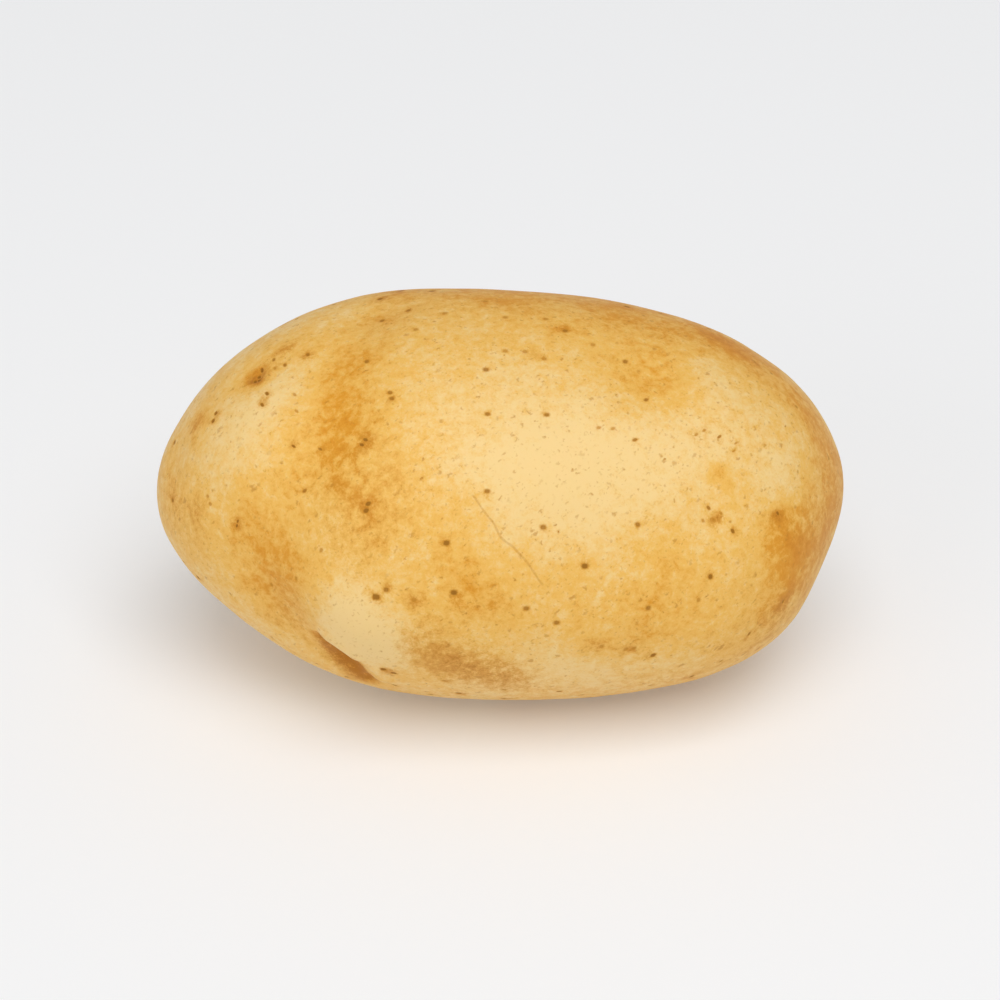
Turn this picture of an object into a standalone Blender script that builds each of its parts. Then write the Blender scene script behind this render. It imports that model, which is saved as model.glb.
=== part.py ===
# A long oval table potato, lying on a small flat spot.
# X runs along the tuber from the rose end (-X) to the stem end (+X), Z is up and -Y is its front.
# The origin is at the bottom, under the middle of the tuber's box. All sizes are in metres.

import math

import bmesh
import bpy
from mathutils import Vector

# Driving sizes: the finished tuber's box.
LENGTH = 0.0950
BREADTH = 0.0600
HEIGHT = 0.0545

# The flat spot that it rests on: the depth of tuber that it takes off,
# and the height over which it rounds into the skin beside it.
FLAT_DEPTH = 0.0007
FLAT_ROUNDING = 0.0009

# The body grows from a cube with this many quads along each edge.
QUADS_PER_EDGE = 26

# Outline: how full the body is beside a plain ellipsoid, at places from -1 (rose end) to 1 (stem end).
FULLNESS = (
    (-1.0, 0.90),
    (-0.86, 0.975),
    (-0.50, 1.03),
    (0.0, 0.995),
    (0.42, 1.02),
    (0.72, 1.07),
    (0.88, 1.10),
    (1.0, 0.94),
)

# How far the middle of each cross section lies above the tuber's long axis, and behind it.
SPINE_RISE = (
    (-1.0, 0.0004),
    (-0.80, 0.0012),
    (-0.40, 0.0006),
    (0.0, 0.0),
    (0.60, -0.0006),
    (0.84, -0.0006),
    (1.0, 0.0011),
)
SPINE_SWAY = (
    (-1.0, 0.0004),
    (-0.80, 0.0010),
    (-0.40, 0.0004),
    (0.0, 0.0),
    (0.60, -0.0004),
    (0.84, -0.0005),
    (1.0, 0.0009),
)

# Broad swellings (height above 0) and hollows (below 0) of the skin. A place on the skin is given as
# the place along the tuber, then degrees round it: 0 is the top, 90 the front, 180 the underside.
# Then come the reach over the skin and the height at the middle.
SWELLINGS = (
    (-0.72, 38, 0.0095, 0.0011),  # shoulder of the rose end
    (-0.40, 99, 0.0075, 0.0015),  # lobe that overhangs the low front eye
    (0.05, 55, 0.0200, 0.0005),  # crown of the front
    (0.68, 22, 0.0085, 0.0005),  # shoulder of the stem end
    (0.56, -14, 0.0070, 0.0003),
    (0.37, 68, 0.0080, -0.0004),
    (0.62, 120, 0.0100, 0.0009),
    (0.88, 105, 0.0110, -0.0003),
    (-0.30, 262, 0.0170, 0.0010),
    (0.36, 266, 0.0150, -0.0008),
    (0.66, 232, 0.0150, 0.0010),
    (-0.70, 300, 0.0130, -0.0007),
    (0.10, 215, 0.0140, -0.0008),
    (-0.86, 215, 0.0110, 0.0008),
)

# The slanting valley that sets the rose end off from the front: its course over the skin, reach and depth.
VALLEY_COURSE = (
    (-0.37, -5),
    (-0.46, 18),
    (-0.47, 36),
    (-0.56, 56),
    (-0.64, 72),
    (-0.70, 92),
    (-0.60, 110),
)
VALLEY_REACH = 0.0060
VALLEY_DEPTH = 0.0015

# Eyes: place on the skin, then reach and depth of the hollow that holds the bud.
EYES = (
    (-0.69, 12, 0.0034, 0.0006),
    (-0.46, 122, 0.0040, 0.0019),
    (0.41, 20, 0.0048, 0.0007),
    (0.59, 61, 0.0036, 0.0004),
    (-0.42, 302, 0.0044, 0.0013),
    (-0.62, 246, 0.0046, 0.0015),
    (-0.80, 178, 0.0036, 0.0009),
    (-0.08, 202, 0.0046, 0.0012),
    (0.08, 292, 0.0050, 0.0014),
    (0.50, 176, 0.0044, 0.0011),
    (0.66, 262, 0.0046, 0.0012),
    (-0.86, 304, 0.0034, 0.0009),
)

# Dimple of the terminal bud at the rose end, and the stem's scar at the other end.
TERMINAL_BUD = (-0.93, 34, 0.0030, 0.0004)
STEM_SCAR = (0.97, 246, 0.0036, 0.0011)

SKIN_COLOUR = (0.78, 0.50, 0.17, 1.0)
SKIN_ROUGHNESS = 0.52


def through_stations(stations, place):
    """The smooth curve through (place, value) stations, read at a place."""
    last = len(stations) - 2
    at = max((i for i in range(last + 1) if stations[i][0] <= place), default=0)
    before, start, end, after = (stations[min(max(i, 0), last + 1)] for i in range(at - 1, at + 3))
    gap = end[0] - start[0]
    slope_in = (end[1] - before[1]) / (end[0] - before[0]) * gap
    slope_out = (after[1] - start[1]) / (after[0] - start[0]) * gap
    s = (place - start[0]) / gap
    ease = s * s * (3 - 2 * s)
    return (
        (1 - ease) * start[1]
        + ease * end[1]
        + s * (1 - s) ** 2 * slope_in
        - s * s * (1 - s) * slope_out
    )


def body_point(direction):
    """Where a direction from the middle of the tuber meets its plain body, before swellings and eyes."""
    along = direction.x
    fullness = through_stations(FULLNESS, along)
    return Vector(
        (
            LENGTH / 2 * along,
            BREADTH / 2 * fullness * direction.y + through_stations(SPINE_SWAY, along),
            HEIGHT / 2 * fullness * direction.z + through_stations(SPINE_RISE, along),
        )
    )


def skin_place(along, around):
    """The point of the plain body at a place along the tuber and degrees round it."""
    turn = math.radians(around)
    ring = math.sqrt(1 - along**2)
    return body_point(Vector((along, -ring * math.sin(turn), ring * math.cos(turn))))


def fading(distance, reach):
    """1 at the middle of a feature, falling smoothly to nothing a little past its reach."""
    return math.exp(-((distance / reach) ** 2))


def distance_to_course(point, course):
    """How far a point is from the nearest place on a line of points."""
    nearest = math.inf
    for start, end in zip(course, course[1:]):
        run = end - start
        share = min(max((point - start).dot(run) / run.length_squared, 0.0), 1.0)
        nearest = min(nearest, (point - start - share * run).length)
    return nearest


def skin_height(point, bumps, valley):
    """How far the real skin stands above the plain body at a point of it."""
    height = sum(rise * fading((point - middle).length, reach) for middle, reach, rise in bumps)
    return height - VALLEY_DEPTH * fading(distance_to_course(point, valley), VALLEY_REACH)


def ball_of_quads():
    """A ball of radius 1 with even quads, made from a cube."""
    mesh = bmesh.new()
    bmesh.ops.create_cube(mesh, size=2.0)
    bmesh.ops.subdivide_edges(mesh, edges=mesh.edges[:], cuts=QUADS_PER_EDGE - 1, use_grid_fill=True)
    for vertex in mesh.verts:
        # The tangent keeps the quads near the cube's corners as large as those at its middles.
        vertex.co = Vector([math.tan(math.pi / 4 * c) for c in vertex.co]).normalized()
    return mesh


def raise_skin(mesh):
    """Moves the plain body's points along their normals to the swellings, valley, eyes and scars."""
    bumps = [(skin_place(a, r), reach, rise) for a, r, reach, rise in SWELLINGS]
    bumps += [(skin_place(a, r), reach, -depth) for a, r, reach, depth in (*EYES, TERMINAL_BUD, STEM_SCAR)]
    valley = [skin_place(*place) for place in VALLEY_COURSE]
    mesh.normal_update()
    moves = [(vertex, vertex.normal * skin_height(vertex.co, bumps, valley)) for vertex in mesh.verts]
    for vertex, move in moves:
        vertex.co += move


def bounds(mesh):
    """Lowest and highest corner of the mesh."""
    columns = list(zip(*(vertex.co for vertex in mesh.verts)))
    return Vector(map(min, columns)), Vector(map(max, columns))


def fit_to_box(mesh, size):
    """Scales the mesh to a box of this size, which stands on the origin."""
    low, high = bounds(mesh)
    middle = (low + high) / 2
    for vertex in mesh.verts:
        for axis in (0, 1, 2):
            share = (vertex.co[axis] - middle[axis]) / (high[axis] - low[axis])
            vertex.co[axis] = share * size[axis]
        vertex.co.z += size[2] / 2


def press_flat_spot(mesh):
    """Flattens the lowest skin onto Z = 0, and rounds the flat spot's edge into the skin around it."""
    for vertex in mesh.verts:
        over = vertex.co.z - FLAT_DEPTH
        if over <= 0:
            vertex.co.z = 0.0
        elif over < FLAT_ROUNDING:
            vertex.co.z = over**2 / (2 * FLAT_ROUNDING)
        else:
            vertex.co.z = over - FLAT_ROUNDING / 2


def skin_material():
    material = bpy.data.materials.new("potato_skin")
    material.use_nodes = True
    shader = material.node_tree.nodes["Principled BSDF"]
    shader.inputs["Base Color"].default_value = SKIN_COLOUR
    shader.inputs["Roughness"].default_value = SKIN_ROUGHNESS
    shader.inputs["Metallic"].default_value = 0.0
    return material


def make_potato():
    mesh = ball_of_quads()
    for vertex in mesh.verts:
        vertex.co = body_point(vertex.co)
    raise_skin(mesh)
    fit_to_box(mesh, (LENGTH, BREADTH, HEIGHT + FLAT_DEPTH + FLAT_ROUNDING / 2))
    press_flat_spot(mesh)
    data = bpy.data.meshes.new("potato")
    mesh.to_mesh(data)
    mesh.free()
    data.shade_smooth()
    data.materials.append(skin_material())
    potato = bpy.data.objects.new("potato", data)
    bpy.context.scene.collection.objects.link(potato)
    return potato


for old in list(bpy.data.objects):
    bpy.data.objects.remove(old)
make_potato()
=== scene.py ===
import math
import random

import bpy
import numpy as np
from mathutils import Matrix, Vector
from mathutils.bvhtree import BVHTree
from mathutils.kdtree import KDTree


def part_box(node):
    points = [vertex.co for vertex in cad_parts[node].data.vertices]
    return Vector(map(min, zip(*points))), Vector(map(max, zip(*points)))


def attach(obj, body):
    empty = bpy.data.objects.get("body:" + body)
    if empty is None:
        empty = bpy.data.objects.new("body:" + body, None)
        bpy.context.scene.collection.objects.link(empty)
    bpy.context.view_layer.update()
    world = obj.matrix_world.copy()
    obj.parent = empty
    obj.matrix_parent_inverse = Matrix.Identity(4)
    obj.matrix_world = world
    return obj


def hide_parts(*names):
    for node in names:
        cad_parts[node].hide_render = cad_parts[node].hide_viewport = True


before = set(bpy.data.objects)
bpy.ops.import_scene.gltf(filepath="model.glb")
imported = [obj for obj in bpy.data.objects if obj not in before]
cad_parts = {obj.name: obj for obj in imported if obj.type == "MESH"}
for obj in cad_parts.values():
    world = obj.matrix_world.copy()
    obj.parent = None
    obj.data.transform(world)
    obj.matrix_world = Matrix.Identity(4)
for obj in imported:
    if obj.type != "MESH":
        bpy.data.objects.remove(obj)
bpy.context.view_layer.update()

low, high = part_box("potato")
middle = (low + high) / 2
halfSize = (high - low) / 2
mm = 0.001
print("frame: potato box", [round(side * 1000, 1) for side in high - low], "mm")


def selectOnly(piece):
    bpy.ops.object.select_all(action="DESELECT")
    piece.select_set(True)
    bpy.context.view_layer.objects.active = piece


def applyModifier(piece, kind, **settings):
    selectOnly(piece)
    modifier = piece.modifiers.new(kind.title(), kind)
    for name, value in settings.items():
        setattr(modifier, name, value)
    bpy.ops.object.modifier_apply(modifier=modifier.name)


def rayPlace(tree, along, around):
    # place on the skin: along runs -1 (rose end) to 1 (stem end),
    # around is degrees from the top towards the front
    turn = math.radians(around)
    start = Vector((middle.x + halfSize.x * along, middle.y, middle.z))
    way = Vector((0, -halfSize.y * math.sin(turn), halfSize.z * math.cos(turn))).normalized()
    return tree.ray_cast(start, way)[:2]


def skinTree(skin):
    return BVHTree.FromObject(skin, bpy.context.evaluated_depsgraph_get())


def nearestIn(items, key, spots):
    # the items (vertices or faces) nearest each spot, once each
    tree = KDTree(len(items))
    for item in items:
        tree.insert(key(item), item.index)
    tree.balance()
    return sorted({tree.find(spot)[1] for spot in spots})


def selectParts(skin, mode, indices):
    selectOnly(skin)
    bpy.ops.object.mode_set(mode="EDIT")
    bpy.ops.mesh.select_mode(type=mode)
    bpy.ops.mesh.select_all(action="DESELECT")
    bpy.ops.object.mode_set(mode="OBJECT")
    parts = {"VERT": skin.data.vertices, "EDGE": skin.data.edges, "FACE": skin.data.polygons}[mode]
    for index in indices:
        parts[index].select = True
    bpy.ops.object.mode_set(mode="EDIT")


def drag(skin, spots, way, reach):
    # pulls the skin at these spots, and what is within reach of them, as with a grab brush
    near = nearestIn(skin.data.vertices, lambda v: v.co, spots)
    selectParts(skin, "VERT", near)
    bpy.ops.transform.translate(value=way, use_proportional_edit=True, proportional_size=reach)
    bpy.ops.object.mode_set(mode="OBJECT")


# the rims round the pits are cut in steps of a twentieth of a mm, and none is narrower than one step
stepsPerMm = 20
narrowest = 0.05


def insetSpots(skin, spots, side, depth, cork):
    # sinks a pit of this side into the face under each spot, and marks how much cork is inside it
    centres = KDTree(len(skin.data.polygons))
    for face in skin.data.polygons:
        centres.insert(face.center, face.index)
    centres.balance()
    groups = {}
    for spot in spots:
        centre, index, away = centres.find(spot)
        width = (math.sqrt(skin.data.polygons[index].area) - side) / 2
        steps = max(round(width / mm * stepsPerMm) / stepsPerMm, narrowest)
        groups.setdefault(steps * mm, {})[index] = centre
    for width, found in groups.items():
        selectParts(skin, "FACE", nearestIn(skin.data.polygons, lambda f: f.center, found.values()))
        bpy.ops.mesh.inset(thickness=width, depth=depth, use_individual=True)
        bpy.ops.object.mode_set(mode="OBJECT")
        marks = skin.data.attributes["cork"].data
        for face in skin.data.polygons:
            if face.select:
                for corner in face.vertices:
                    marks[corner].value = max(marks[corner].value, cork)


skinShape = {
    "stretch": 1.3,  # of the starting block, so that the faces come out nearly square
    "cuts": 44,
    "smoothing": 8,
    "waves": [(13 * mm, 0.40 * mm), (4.5 * mm, 0.10 * mm)],  # width and height of the gentle unevenness
    "calmBelow": 3.0 * mm,  # it dies out below this height
    "flatSpot": 0.08 * mm,  # what lies lower than this is pressed flat
}


def startSkin():
    selectOnly(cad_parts["potato"])
    bpy.ops.object.duplicate()
    mould = bpy.context.object
    bpy.ops.object.mode_set(mode="EDIT")
    bpy.ops.mesh.select_all(action="SELECT")
    bpy.ops.mesh.remove_doubles(threshold=0.01 * mm)
    bpy.ops.object.mode_set(mode="OBJECT")
    bpy.ops.object.shade_smooth()

    bpy.ops.object.select_all(action="DESELECT")
    bpy.ops.mesh.primitive_cube_add(size=2, location=middle, scale=(skinShape["stretch"], 1, 1))
    skin = bpy.context.object
    skin.name = skin.data.name = "potato_skin"
    bpy.ops.object.transform_apply()
    ends = [[skin.data.vertices[v].co.x for v in edge.vertices] for edge in skin.data.edges]
    lengthwise = [index for index, (one, other) in enumerate(ends) if one * other < 0]
    selectParts(skin, "EDGE", lengthwise)
    bpy.ops.mesh.subdivide()
    bpy.ops.mesh.select_all(action="SELECT")
    bpy.ops.mesh.subdivide(number_cuts=skinShape["cuts"])
    bpy.ops.transform.tosphere(value=1)
    bpy.ops.object.mode_set(mode="OBJECT")
    radius = (skin.data.vertices[0].co - middle).length
    bpy.ops.object.mode_set(mode="EDIT")
    bpy.ops.transform.resize(value=halfSize / radius, center_override=middle)
    bpy.ops.object.mode_set(mode="OBJECT")
    applyModifier(skin, "SHRINKWRAP", target=mould, wrap_method="TARGET_PROJECT")
    applyModifier(skin, "SMOOTH", factor=0.5, iterations=skinShape["smoothing"])
    bpy.data.objects.remove(mould)
    return skin


def ruffle(skin):
    # gentle unevenness, broad and then finer, dying out towards the flat spot
    free = skin.vertex_groups.new(name="free")
    for corner in skin.data.vertices:
        free.add([corner.index], min(max(corner.co.z - low.z, 0) / skinShape["calmBelow"], 1), "REPLACE")
    for width, height in skinShape["waves"]:
        waves = bpy.data.textures.new("waves", "CLOUDS")
        waves.noise_scale = width
        waves.noise_depth = 1
        applyModifier(skin, "DISPLACE", texture=waves, texture_coords="LOCAL",
                      strength=height, mid_level=0.5, vertex_group="free")
    skin.vertex_groups.clear()


# place, size in mm, which way the brow lies (0 = towards the stem end, 90 = towards the front's underside),
# how high the brow and how deep the crease, and the buds in the crease: (towards stem, around, in mm)
eyes = {
    "roseFront": {"place": (-0.69, 11), "size": 2.2, "brow": -30, "lift": 0.14, "crease": 0.24,
                  "buds": [(0.8, -1.5), (0.1, -0.7), (-0.4, 0.2), (0.2, 0.9)]},
    "stemFront": {"place": (0.44, 20), "size": 2.8, "brow": 10, "lift": 0.08, "crease": 0.12, "buds": []},
    "stemFlank": {"place": (0.59, 65), "size": 1.8, "brow": 0, "lift": 0.06, "crease": 0.12, "buds": []},
    "crownBack": {"place": (-0.42, 302), "size": 3.2, "brow": 10, "lift": 0.35, "crease": 0.55,
                  "buds": [(-0.6, -0.6), (0.3, 0.4), (-0.2, 1.2)]},
    "roseBack": {"place": (-0.62, 246), "size": 3.4, "brow": -10, "lift": 0.40, "crease": 0.65,
                 "buds": [(-0.5, -1.2), (0.2, 0.0), (-0.4, 1.1)]},
    "roseUnder": {"place": (-0.80, 178), "size": 2.4, "brow": 5, "lift": 0.25, "crease": 0.40,
                  "buds": [(0.0, -0.6), (0.0, 0.6)]},
    "bellyUnder": {"place": (-0.08, 202), "size": 3.2, "brow": 0, "lift": 0.0, "crease": 0.50,
                   "buds": [(-0.3, -0.9), (0.3, 0.2), (-0.4, 1.2)]},
    "bellyBack": {"place": (0.08, 292), "size": 3.6, "brow": -5, "lift": 0.35, "crease": 0.60,
                  "buds": [(-0.5, -1.3), (0.2, -0.2), (-0.3, 1.0)]},
    "stemUnder": {"place": (0.50, 176), "size": 3.0, "brow": 10, "lift": 0.20, "crease": 0.45,
                  "buds": [(0.0, -0.7), (0.3, 0.6)]},
    "stemBack": {"place": (0.66, 262), "size": 3.2, "brow": 0, "lift": 0.30, "crease": 0.55,
                 "buds": [(-0.3, -1.0), (0.3, 0.1), (-0.3, 1.1)]},
    "roseCrown": {"place": (-0.86, 304), "size": 2.2, "brow": 0, "lift": 0.20, "crease": 0.35,
                  "buds": [(0.0, -0.5), (0.1, 0.7)]},
}

# the low front eye is a long slit under a swollen brow: places along each,
# then how far they move and reach in mm, and the cork in the slit's first places
longEye = {
    "brow": [(-0.48, 108), (-0.44, 112), (-0.40, 116), (-0.36, 121), (-0.33, 126)],
    "lift": 0.70, "browReach": 2.6,
    "slit": [(-0.50, 114), (-0.48, 117), (-0.46, 120), (-0.435, 124), (-0.41, 128), (-0.385, 132)],
    "crease": 0.75, "slitReach": 1.9,
    "corked": 4, "side": 0.5 * mm, "depth": -0.12 * mm, "cork": 0.7,
}

# side and depth of a bud's pit, how much cork it holds, and the reach in mm and strength of its stain
bud = {"side": 0.75 * mm, "depth": -0.22 * mm, "cork": 1.0, "stainReach": 0.85, "stain": 1.1}


def eyeFrame(tree, place):
    # centre of an eye, the skin's normal there, and the directions towards the stem end and round the tuber
    centre, normal = rayPlace(tree, *place)
    toStem = (Vector((1, 0, 0)) - normal * normal.x).normalized()
    return centre, normal, toStem, toStem.cross(normal)


def shapeEyes(skin):
    tree = skinTree(skin)
    for eye in eyes.values():
        centre, normal, toStem, aroundWay = eyeFrame(tree, eye["place"])
        size = eye["size"] * mm
        facing = math.radians(eye["brow"])

        def arc(radius, halfAngle, steps):
            turns = [facing + math.radians(halfAngle) * (2 * i / (steps - 1) - 1) for i in range(steps)]
            return [centre + radius * (toStem * math.cos(t) + aroundWay * math.sin(t)) for t in turns]

        if eye["lift"]:
            drag(skin, arc(0.85 * size, 62, 7), normal * eye["lift"] * mm, 0.55 * size)
        drag(skin, arc(0.30 * size, 75, 5), -normal * eye["crease"] * mm, 0.5 * size)

    normal = rayPlace(tree, *longEye["slit"][3])[1]
    brow = [rayPlace(tree, *place)[0] for place in longEye["brow"]]
    slit = [rayPlace(tree, *place)[0] for place in longEye["slit"]]
    drag(skin, brow, normal * longEye["lift"] * mm, longEye["browReach"] * mm)
    drag(skin, slit, -normal * longEye["crease"] * mm, longEye["slitReach"] * mm)


def makeBuds(skin):
    tree = skinTree(skin)
    spots = []
    for eye in eyes.values():
        centre, normal, toStem, aroundWay = eyeFrame(tree, eye["place"])
        spots += [centre + mm * (a * toStem + b * aroundWay) for a, b in eye["buds"]]
    insetSpots(skin, spots, bud["side"], bud["depth"], bud["cork"])
    slit = [rayPlace(tree, *place)[0] for place in longEye["slit"][:longEye["corked"]]]
    insetSpots(skin, slit, longEye["side"], longEye["depth"], longEye["cork"])
    return [(spot, bud["stainReach"], bud["stain"]) for spot in spots]


pores = {
    # places on the front, (along, around)
    "bold": [(-0.815, 24), (-0.80, 21.5), (-0.665, 25), (-0.655, 22.5), (-0.74, 71.5), (-0.575, 41),
             (-0.376, 43), (-0.371, 41), (-0.372, 61.5), (-0.367, 59.5), (-0.735, 69.5), (-0.15, 70),
             (-0.345, 88), (-0.12, 86), (0.23, 77), (0.586, 84), (0.65, 69.5), (0.775, 66), (0.42, 111),
             (-0.32, 119), (-0.305, 119.5)],
    "small": [(-0.545, 8.5), (-0.498, 43.5), (-0.304, 30), (-0.299, 28.5), (-0.03, 34.5), (0.12, 35),
              (-0.04, 57), (0.12, 66), (0.38, 65.5), (0.38, 42), (0.41, 93), (0.07, 90), (0.80, 106),
              (-0.54, 56), (-0.34, -6), (-0.26, -7), (0.15, 95), (0.70, 114), (0.178, 5), (0.405, 28),
              (-0.372, 14.5), (-0.609, 9.5), (-0.03, 21), (0.355, 16), (0.612, 39), (-0.305, 84),
              (-0.94, 10), (-0.935, 64), (-0.352, 86.5), (0.575, 61), (-0.64, 4)],
    "faint": [(-0.83, 60), (-0.82, 62), (-0.63, 9), (-0.24, 5), (-0.16, -2), (-0.17, -3), (0.0, 1),
              (0.12, -1), (-0.05, -9), (0.305, 38), (0.27, 38.5), (0.55, 91), (-0.15, 122), (0.01, 127),
              (0.37, 108), (0.35, 106), (0.27, 105), (0.63, 124), (0.54, 39), (0.57, 36), (0.66, 40),
              (0.65, 43), (0.84, 12), (0.73, -4), (-0.57, 88), (-0.64, 98), (-0.46, 54), (-0.57, 30),
              (-0.57, 24), (0.08, 16), (0.12, 17), (0.0, 15), (0.25, 9), (0.94, 32), (-0.49, 75),
              (-0.235, 87), (0.56, 65), (0.608, 64), (0.597, 66.5)],
    # scattered over the rest: how many, and the room that each has to itself
    "scattered": 210,
    "room": 4.2 * mm,
    "seed": 7,
    "roomShare": (0.6, 1.3),
    "sector": (128, 344),  # degrees: from the low front, under the tuber and up its back, almost to the top
    "ends": 0.97,
    "giveUp": 0.002,  # chance to stop after a place with no room
    # side and depth of each kind, how much cork it holds, and the reach in mm and strength of its stain
    "kinds": {
        "bold": (0.74 * mm, -0.06 * mm, 0.84, 0.90, 0.75),
        "small": (0.58 * mm, -0.05 * mm, 0.70, 0.70, 0.50),
        "faint": (0.45 * mm, -0.03 * mm, 0.50, 0.60, 0.35),
    },
}


def roomAround(spot, others):
    return min((spot - other).length for other in others)


def scatterPores(tree, taken):
    rng = random.Random(pores["seed"])
    found = []
    while len(found) < pores["scattered"]:
        along = rng.uniform(-pores["ends"], pores["ends"])
        around = rng.uniform(*pores["sector"])
        spot = rayPlace(tree, along, around)[0]
        if spot and roomAround(spot, taken + found) > pores["room"] * rng.uniform(*pores["roomShare"]):
            found.append(spot)
        elif rng.random() < pores["giveUp"]:
            break
    return found


def makePores(skin):
    tree = skinTree(skin)
    spots = {kind: [rayPlace(tree, *place)[0] for place in pores[kind]] for kind in pores["kinds"]}
    rest = scatterPores(tree, spots["bold"] + spots["small"] + spots["faint"])
    spots["bold"] += rest[::5]
    spots["small"] += rest[1::5] + rest[2::5]
    spots["faint"] += rest[3::5] + rest[4::5]
    stains = []
    for kind, (side, depth, cork, reach, strength) in pores["kinds"].items():
        insetSpots(skin, spots[kind], side, depth, cork)
        stains += [(spot, reach, strength) for spot in spots[kind]]
        print("pores:", len(spots[kind]), kind)
    return stains


# washes of colour over the skin: (along, around, reach in mm, strength), below 0 paler; besides the skin's
# own stains, some are painted shade, some painted highlights and some a painted floor reflection, as marked
# below
tints = {
    "ochre": [
        # valley: ochre in the trough, partly the skin's own stain and partly painted shade in the hollow
        (-0.38, 1, 5.0, 0.40), (-0.41, 17, 5.0, 0.50), (-0.44, 34, 5.0, 0.70), (-0.47, 46, 4.5, 0.40),
        (-0.38, 58, 5.0, 0.35), (-0.56, 52, 3.0, 0.25), (-0.62, 66, 5.0, 0.25), (-0.70, 79, 6.0, 0.50),
        (-0.61, 88, 5.5, 0.50), (-0.64, 103, 4.5, 0.40), (-0.58, 112, 3.0, 0.35),
        # the first paler wash here is a painted highlight where the knob catches the light
        (-0.74, 32, 6.0, -0.35), (-0.64, 24, 4.5, -0.30), (-0.42, 97, 5.5, -0.65), (-0.35, 108, 5.0, -0.50),
        (-0.86, 19, 2.4, 0.70), (-0.69, 11, 2.8, 0.80), (-0.62, 0, 3.5, 0.45), (-0.94, 45, 5.0, 0.45),
        (-0.88, 75, 6.0, 0.20), (0.66, -9, 3.0, 0.70), (0.28, 44, 8.0, -0.15),
        # top: a deeper orange band along the upper rim, partly the skin's own tone and partly painted shade
        # where the top turns away from the light
        (0.0, -22, 12.0, 0.60), (-0.26, -26, 11.0, 0.30), (0.26, -20, 12.0, 0.50), (0.50, -18, 11.0, 0.50),
        (0.64, -10, 6.5, 0.45), (0.80, -2, 6.0, 0.45), (0.90, 8, 5.0, 0.45), (0.18, 4, 2.6, 0.5),
        (0.40, 16, 5.0, 0.35), (0.46, 24, 5.5, 0.30), (0.61, 51, 1.7, 0.50), (0.42, 54, 8.0, -0.25),
        # stem end: deeper orange, partly the skin's own tone and partly painted shade and orange reflection
        # from a neighbouring potato
        (0.98, 60, 11.0, 0.50), (0.82, 77, 5.0, 0.90), (0.95, 50, 6.0, 0.35), (0.92, 92, 7.0, 0.50),
        (0.83, 104, 6.0, 0.40), (0.74, 112, 9.0, 0.30), (0.44, 78, 5.5, 0.40), (0.44, 98, 7.0, 0.45),
        (0.26, 94, 7.0, 0.30), (-0.09, 85, 6.0, 0.45), (-0.20, 72, 6.0, 0.25),
        # the first two paler washes are painted highlights on the lit front
        (0.11, 50, 10.0, -0.40), (0.60, 36, 6.0, -0.15), (0.60, 16, 4.0, -0.30), (0.79, 48, 4.0, -0.30),
        # paler along the low front and underside rim: painted reflection of the white floor
        (0.14, 108, 6.0, -0.20), (0.0, 126, 8.0, -0.25), (0.25, 124, 8.0, -0.25), (0.50, 122, 8.0, -0.25),
        # behind
        (-0.42, 302, 6, 0.4), (-0.62, 246, 6, 0.5), (0.08, 292, 7, 0.45), (0.66, 262, 6, 0.45),
        (0.50, 176, 6, 0.4), (-0.08, 202, 7, 0.4), (-0.80, 178, 6, 0.4), (0.35, 235, 10, -0.35),
        (-0.30, 270, 11, -0.35), (0.75, 320, 9, 0.2), (0.96, 240, 9, 0.5), (0.90, 180, 9, 0.4)],
    "brown": [
        (-0.24, 103, 3.6, 0.40), (-0.18, 108, 3.8, 0.50), (-0.12, 112, 4.2, 0.60), (-0.05, 115, 4.2, 0.60),
        (0.01, 118, 3.8, 0.55), (0.06, 121, 3.0, 0.35), (-0.05, 90, 4.0, 0.30), (-0.20, 93, 3.0, 0.30),
        (-0.495, 116, 1.2, 1.6), (-0.48, 121, 1.8, 1.5), (-0.45, 125, 2.2, 1.7), (-0.42, 129, 2.1, 1.7),
        # the last three here darken the valley: painted shade
        (-0.39, 133, 1.9, 1.6), (-0.44, 44, 8.0, 0.25), (-0.34, 58, 8.0, 0.35), (-0.40, 72, 6.0, 0.25),
        # low rim: a darker, browner tone along the underside rim, painted shade
        (-0.20, 134, 9.0, 0.20), (0.10, 136, 9.0, 0.20), (0.35, 134, 9.0, 0.25), (0.60, 130, 9.0, 0.28),
        (0.80, 118, 7.0, 0.35), (-0.60, 112, 5.0, 0.35), (-0.92, 75, 7.0, 0.30), (-0.30, -24, 8.0, 0.30),
        (-0.675, 11, 1.9, 0.90), (-0.62, -24, 1.5, 0.80), (-0.61, 2, 1.5, 0.9), (-0.865, 19, 1.6, 0.7),
        (0.60, -9, 1.6, 0.80), (0.65, -11, 1.4, 0.80), (0.69, -7, 1.3, 0.60), (0.74, -5, 1.5, 0.40),
        (0.37, 107, 1.7, 0.70), (0.27, 105, 1.8, 0.60), (0.605, 64.5, 0.9, 0.9), (0.592, 66.5, 0.9, 0.8),
        (0.18, 4, 1.5, 0.6), (0.10, 16, 1.6, 0.4), (-0.545, 8, 1.5, 0.6), (0.61, 51, 1.3, 0.25),
        (-0.235, 87, 1.3, 0.6), (-0.305, 84, 1.1, 0.4), (0.775, 67, 1.8, 0.6), (0.82, 76, 2.4, 0.4),
        (0.86, 84, 2.2, 0.3), (0.80, 108, 2.0, 0.6), (0.55, 39, 1.4, 0.4), (0.64, 34, 4.0, 0.25),
        (-0.42, 302, 2.0, 0.6), (-0.62, 246, 2.2, 0.6), (-0.80, 178, 1.6, 0.5), (-0.08, 202, 2.0, 0.6),
        (0.08, 292, 2.2, 0.6), (0.50, 176, 1.8, 0.5), (0.66, 262, 2.0, 0.6), (-0.86, 304, 1.4, 0.5),
        (0.97, 246, 3.0, 1.0), (-0.25, 232, 4.0, 0.6), (0.28, 318, 3.5, 0.5), (-0.86, 70, 2.0, 0.35)],
}


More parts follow.
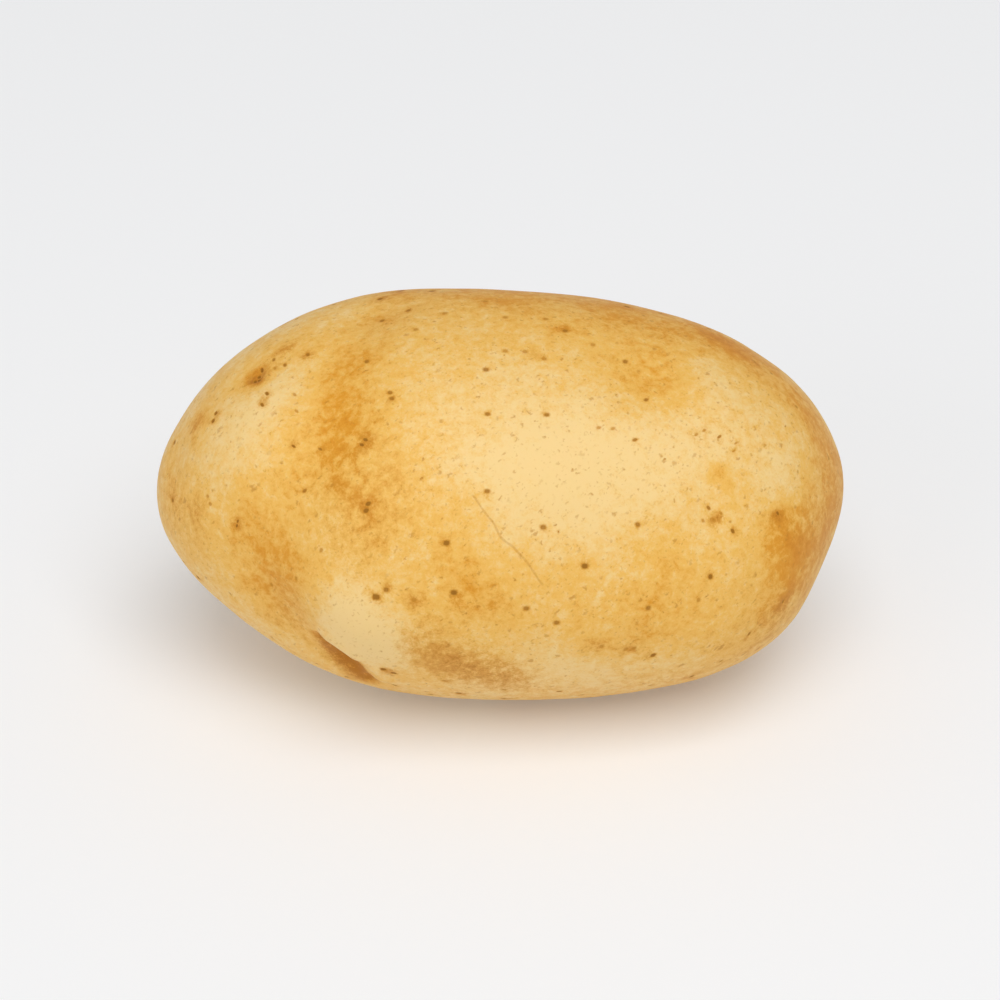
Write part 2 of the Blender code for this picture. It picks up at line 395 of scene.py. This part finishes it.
def paintTints(skin, stains):
    tree = skinTree(skin)
    count = len(skin.data.vertices)
    points = np.empty(count * 3, np.float32)
    skin.data.vertices.foreach_get("co", points)
    points = points.reshape(-1, 3)
    for name, spots in tints.items():
        total = np.zeros(count, np.float32)
        washes = [(rayPlace(tree, *place)[0], reach, strength) for *place, reach, strength in spots]
        for centre, reach, strength in washes + (stains if name == "brown" else []):
            away = np.linalg.norm(points - np.array(centre), axis=1) / (reach * mm)
            total += strength * np.exp(-away ** 2)
        layer = skin.data.attributes.new(name, "FLOAT", "POINT")
        layer.data.foreach_set("value", total)


def settle(skin):
    # back into the potato's own box, and flat where it rests
    points = [v.co for v in skin.data.vertices]
    skinLow = Vector([min(p[axis] for p in points) for axis in range(3)])
    skinHigh = Vector([max(p[axis] for p in points) for axis in range(3)])
    share = Vector([2 * h / s for h, s in zip(halfSize, skinHigh - skinLow)])
    selectParts(skin, "VERT", range(len(points)))
    bpy.ops.transform.translate(value=middle - (skinLow + skinHigh) / 2)
    bpy.ops.transform.resize(value=share, center_override=middle)
    bpy.ops.object.mode_set(mode="OBJECT")
    resting = [v.index for v in skin.data.vertices if v.co.z < low.z + skinShape["flatSpot"]]
    selectParts(skin, "VERT", resting)
    bpy.ops.transform.resize(value=(1, 1, 0), center_override=(middle.x, middle.y, low.z))
    bpy.ops.object.mode_set(mode="OBJECT")


class Tap:
    # one output of a material's nodes; arithmetic on it adds Math nodes
    def __init__(self, tree, socket=None):
        self.tree = tree
        self.socket = socket

    def node(self, kind, settings=None, inputs=None, output=0):
        made = self.tree.nodes.new(kind)
        for name, value in (settings or {}).items():
            if name == "stops":
                ramp = made.color_ramp
                while len(ramp.elements) < len(value):
                    ramp.elements.new(0.5)
                for stop, (place, colour) in zip(ramp.elements, value):
                    stop.position = place
                    stop.color = colour
            else:
                setattr(made, name, value)
        for name, value in (inputs or {}).items():
            if isinstance(value, Tap):
                self.tree.links.new(value.socket, made.inputs[name])
            else:
                made.inputs[name].default_value = value
        return Tap(self.tree, made.outputs[output])

    def math(self, operation, *values, clamp=False):
        settings = {"operation": operation, "use_clamp": clamp}
        return self.node("ShaderNodeMath", settings, dict(enumerate(values)))

    def __add__(self, other):
        return self.math("ADD", self, other)

    def __sub__(self, other):
        return self.math("SUBTRACT", self, other)

    def __rsub__(self, other):
        return self.math("SUBTRACT", other, self)

    def __mul__(self, other):
        return self.math("MULTIPLY", self, other)

    def __truediv__(self, other):
        return self.math("DIVIDE", self, other)

    __radd__ = __add__
    __rmul__ = __mul__

    def clamped(self):
        return self.math("ADD", self, 0.0, clamp=True)

    def rise(self, start, end):
        # 0 before start, 1 after end, smooth between
        return self.node("ShaderNodeMapRange", {"interpolation_type": "SMOOTHSTEP"},
                         {"Value": self, "From Min": start, "From Max": end})

    def noise(self, scale, detail=2.0, roughness=0.5, distortion=0.0):
        return self.node("ShaderNodeTexNoise", {"noise_dimensions": "3D"},
                         {"Vector": self, "Scale": scale, "Detail": detail, "Roughness": roughness,
                          "Distortion": distortion})

    def blend(self, first, second, mode="MIX"):
        # this mask mixes two colours; sockets 6 and 7 are the colours, output 2 the result
        return self.node("ShaderNodeMix", {"data_type": "RGBA", "blend_type": mode, "clamp_factor": True},
                         {0: self, 6: first, 7: second}, 2)


skinFinish = {
    "pale": (0.83, 0.59, 0.252, 1),
    "yellow": (0.80, 0.465, 0.105, 1),
    "ochre": (0.70, 0.315, 0.030, 1),
    "amber": (0.64, 0.235, 0.008, 1),
    "brown": (0.52, 0.200, 0.016, 1),
    "russet": (0.37, 0.125, 0.006, 1),
    "cork": (0.265, 0.105, 0.006, 1),
    "corkEdge": (0.55, 0.235, 0.022, 1),
    "fleck": (0.47, 0.195, 0.018, 1),
    "scratch": [(-0.06, 59.5), (0.02, 70), (0.10, 80.5)],
    "roughness": 0.50,
    "specular": 0.38,
    "specularTint": (1.0, 0.86, 0.62, 1),
    "subsurface": 0.10,
    "subsurfaceRadius": (1.0, 0.45, 0.15),
    "subsurfaceScale": 1.5 * mm,
    "ior": 1.42,
    "bump": 0.35,
    "bumpHeight": 0.12 * mm,
    # flecks: cells per mm, radius in cells, share left out, strength
    "flecks": [(0.42, 0.17, 0.45, 0.60), (0.85, 0.24, 0.40, 0.55), (1.7, 0.30, 0.35, 0.40)],
    "slant": (0.0, 0.8, 0.0),  # how the dashes among them lie
    "stretch": (0.42, 1.0, 1.0),  # and how long they are
}


def skinMaterial(tree):
    material = bpy.data.materials.new("potato_skin_finish")
    material.use_nodes = True
    nodes = material.node_tree
    shader = nodes.nodes["Principled BSDF"]
    tap = Tap(nodes)

    def attribute(name):
        return tap.node("ShaderNodeAttribute", {"attribute_name": name}, output=2)

    def vector(operation, *values, output=0):
        return tap.node("ShaderNodeVectorMath", {"operation": operation}, dict(enumerate(values)), output)

    place = vector("MULTIPLY", tap.node("ShaderNodeTexCoord", output=3), (1000, 1000, 1000))  # in mm

    broad = place.noise(0.055, 2, 0.5)
    patchy = place.noise(0.17, 3, 0.5, 0.3)
    mottle = place.noise(0.75, 5, 0.70, 0.3)
    grain = place.noise(3.6, 3, 0.7)

    # pale to yellow to ochre; the ochre washes hold painted shade in the valley, along the top rim and at
    # the stem end, and the paler ones painted highlights and a painted floor reflection
    ragged = 0.9 + (patchy - 0.5) * 1.0 + (mottle - 0.5) * 1.4
    depth = (0.36 + attribute("ochre") * ragged * 0.90 + attribute("brown") * 0.35 + (broad - 0.5) * 0.50
             + (patchy - 0.5) * 0.60 + (mottle - 0.5) * 1.40 + (grain - 0.5) * 0.50)
    colour = depth.rise(0.0, 0.62).blend(skinFinish["pale"], skinFinish["yellow"])
    colour = depth.rise(0.50, 1.25).blend(colour, skinFinish["ochre"])
    colour = (depth.rise(0.95, 1.90) * 0.85).blend(colour, skinFinish["amber"])

    # russet stains, with ragged edges; the brown washes under them also hold painted shade in the valley
    # and along the underside rim
    stain = (attribute("brown") * (0.9 + (patchy - 0.5) * 1.0 + (mottle - 0.5) * 2.8 + (grain - 0.5) * 1.4)
             + (mottle - 0.5) * 0.7)
    colour = (stain.rise(0.10, 1.10) * 0.55).blend(colour, skinFinish["brown"])
    colour = (stain.rise(0.90, 2.00) * 0.60).blend(colour, skinFinish["russet"])

    # fine net of darker skin, thicker where a slow pattern lets it through
    net = mottle.rise(0.50, 0.75) * grain.rise(0.45, 0.72) * place.noise(0.12, 2).rise(0.30, 0.75)
    colour = (net * 0.45).blend(colour, skinFinish["fleck"])

    # flecks: one in each cell of a cell pattern, many of them left out; some are drawn out into dashes
    bent = vector("ADD", place, tap.node("ShaderNodeTexNoise", {"noise_dimensions": "3D"},
                                           {"Vector": place, "Scale": 1.6}, 1))
    dashed = tap.node("ShaderNodeMapping", {}, {"Vector": bent, "Rotation": skinFinish["slant"]})
    dashed = vector("MULTIPLY", dashed, skinFinish["stretch"])
    flecks = 0
    for pattern in (bent, dashed):
        for scale, radius, leftOut, strength in skinFinish["flecks"]:
            away = tap.node("ShaderNodeTexVoronoi", {"feature": "F1"}, {"Vector": pattern, "Scale": scale})
            cellColour = Tap(nodes, away.socket.node.outputs["Color"])
            chance = tap.node("ShaderNodeSeparateColor", {}, {0: cellColour})
            dot = (1 - away.rise(radius * 0.3, radius)) * chance.rise(leftOut, 1.0)
            flecks = dot * strength + flecks
    colour = flecks.clamped().blend(colour, skinFinish["fleck"])

    # a fine scratch, where the skin meets a plane stood on it between two places
    first, halfway, last = (rayPlace(tree, *spot) for spot in skinFinish["scratch"])
    start = first[0] * 1000
    run = (last[0] - first[0]) * 1000
    share = vector("DOT_PRODUCT", vector("SUBTRACT", place, start), run, output=1) / run.length_squared
    chord = vector("MULTIPLY_ADD", share.clamped(), run, start)
    near = 1 - vector("DISTANCE", place, chord, output=1).rise(1.1, 1.6)
    across = run.cross(halfway[1]).normalized()
    off = vector("DOT_PRODUCT", vector("SUBTRACT", place, start), across, output=1) + (patchy - 0.5) * 2.0
    scratch = (1 - tap.math("ABSOLUTE", off).rise(0.06, 0.24)) * near * grain.rise(0.15, 0.50)
    colour = (scratch * 0.38).blend(colour, skinFinish["fleck"])

    # cork in the pores and eyes, with a tan edge
    cork = attribute("cork") + (grain - 0.5) * 0.20
    colour = (cork.rise(0.05, 0.50) * 0.70).blend(colour, skinFinish["corkEdge"])
    colour = (cork.rise(0.34, 0.90) * 0.85).blend(colour, skinFinish["cork"])
    nodes.links.new(colour.socket, shader.inputs["Base Color"])

    rough = skinFinish["roughness"] + (mottle - 0.5) * 0.16 + cork * 0.25 + (grain - 0.5) * 0.1
    nodes.links.new(rough.clamped().socket, shader.inputs["Roughness"])

    relief = mottle * 0.5 + grain * 0.22 + place.noise(11.0, 2) * 0.12
    relief = relief - flecks.clamped() * 0.25 - scratch * 0.3
    bump = tap.node("ShaderNodeBump", {}, {"Strength": skinFinish["bump"], "Height": relief,
                                           "Distance": skinFinish["bumpHeight"]})
    nodes.links.new(bump.socket, shader.inputs["Normal"])

    shader.inputs["Specular IOR Level"].default_value = skinFinish["specular"]
    shader.inputs["Specular Tint"].default_value = skinFinish["specularTint"]
    shader.inputs["Subsurface Weight"].default_value = skinFinish["subsurface"]
    shader.inputs["Subsurface Radius"].default_value = skinFinish["subsurfaceRadius"]
    shader.inputs["Subsurface Scale"].default_value = skinFinish["subsurfaceScale"]
    shader.inputs["IOR"].default_value = skinFinish["ior"]
    return material


skin = startSkin()
print("skin: wrapped,", len(skin.data.polygons), "faces")
ruffle(skin)
skin.data.attributes.new("cork", "FLOAT", "POINT")
shapeEyes(skin)
print("eyes: shaped")
stains = makePores(skin) + makeBuds(skin)
applyModifier(skin, "SUBSURF", levels=1, render_levels=1)
settle(skin)
paintTints(skin, stains)
selectOnly(skin)
bpy.ops.object.shade_smooth()
skin.data.materials.append(skinMaterial(skinTree(skin)))
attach(skin, "root")
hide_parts("potato")
print("skin: done,", len(skin.data.polygons), "faces")


studio = {
    "floor": (0.78, 0.785, 0.795, 1),
    "floorSize": 8,
    "floorGlow": 0.13,
    "world": 0.44,
    "key": {"place": (0.22, -0.92, 1.75), "size": 1.55, "power": 26.0},
    "fill": {"place": (-1.50, -1.60, 0.75), "size": 1.4, "power": 7.0},
    "lens": 135,
    "distance": 0.52,
    "elevation": 32,
    "aim": (0.0, 0.0, 0.0255),
}

bpy.ops.object.select_all(action="DESELECT")
bpy.ops.mesh.primitive_plane_add(size=studio["floorSize"], location=(0, 0, 0))
floor = bpy.context.object
floor.name = "floor"
floorFinish = bpy.data.materials.new("floor_finish")
floorFinish.use_nodes = True
floorShader = floorFinish.node_tree.nodes["Principled BSDF"]
floorShader.inputs["Base Color"].default_value = studio["floor"]
floorShader.inputs["Roughness"].default_value = 0.9
floorShader.inputs["Specular IOR Level"].default_value = 0.1
floorShader.inputs["Emission Color"].default_value = (1, 1, 1, 1)
floorShader.inputs["Emission Strength"].default_value = studio["floorGlow"]
floor.data.materials.append(floorFinish)

world = bpy.data.worlds.new("studio_world")
world.use_nodes = True
world.node_tree.nodes["Background"].inputs["Color"].default_value = (1, 1, 1, 1)
world.node_tree.nodes["Background"].inputs["Strength"].default_value = studio["world"]
bpy.context.scene.world = world


def softLight(name, place, size, power, target=(0, 0, 0.02)):
    bpy.ops.object.light_add(type="AREA", location=place)
    light = bpy.context.object
    light.name = name
    light.data.size = size
    light.data.energy = power
    light.rotation_euler = (Vector(target) - Vector(place)).to_track_quat("-Z", "Y").to_euler()


for name in ("key", "fill"):
    softLight(name, **studio[name])

tilt = math.radians(studio["elevation"])
aim = Vector(studio["aim"])
bpy.ops.object.camera_add(location=aim + studio["distance"] * Vector((0, -math.cos(tilt), math.sin(tilt))))
camera = bpy.context.object
camera.rotation_euler = (aim - camera.location).to_track_quat("-Z", "Y").to_euler()
camera.data.lens = studio["lens"]
camera.data.clip_start = 0.01
bpy.context.scene.camera = camera
bpy.context.scene.view_settings.view_transform = "Standard"
print("studio: ready")
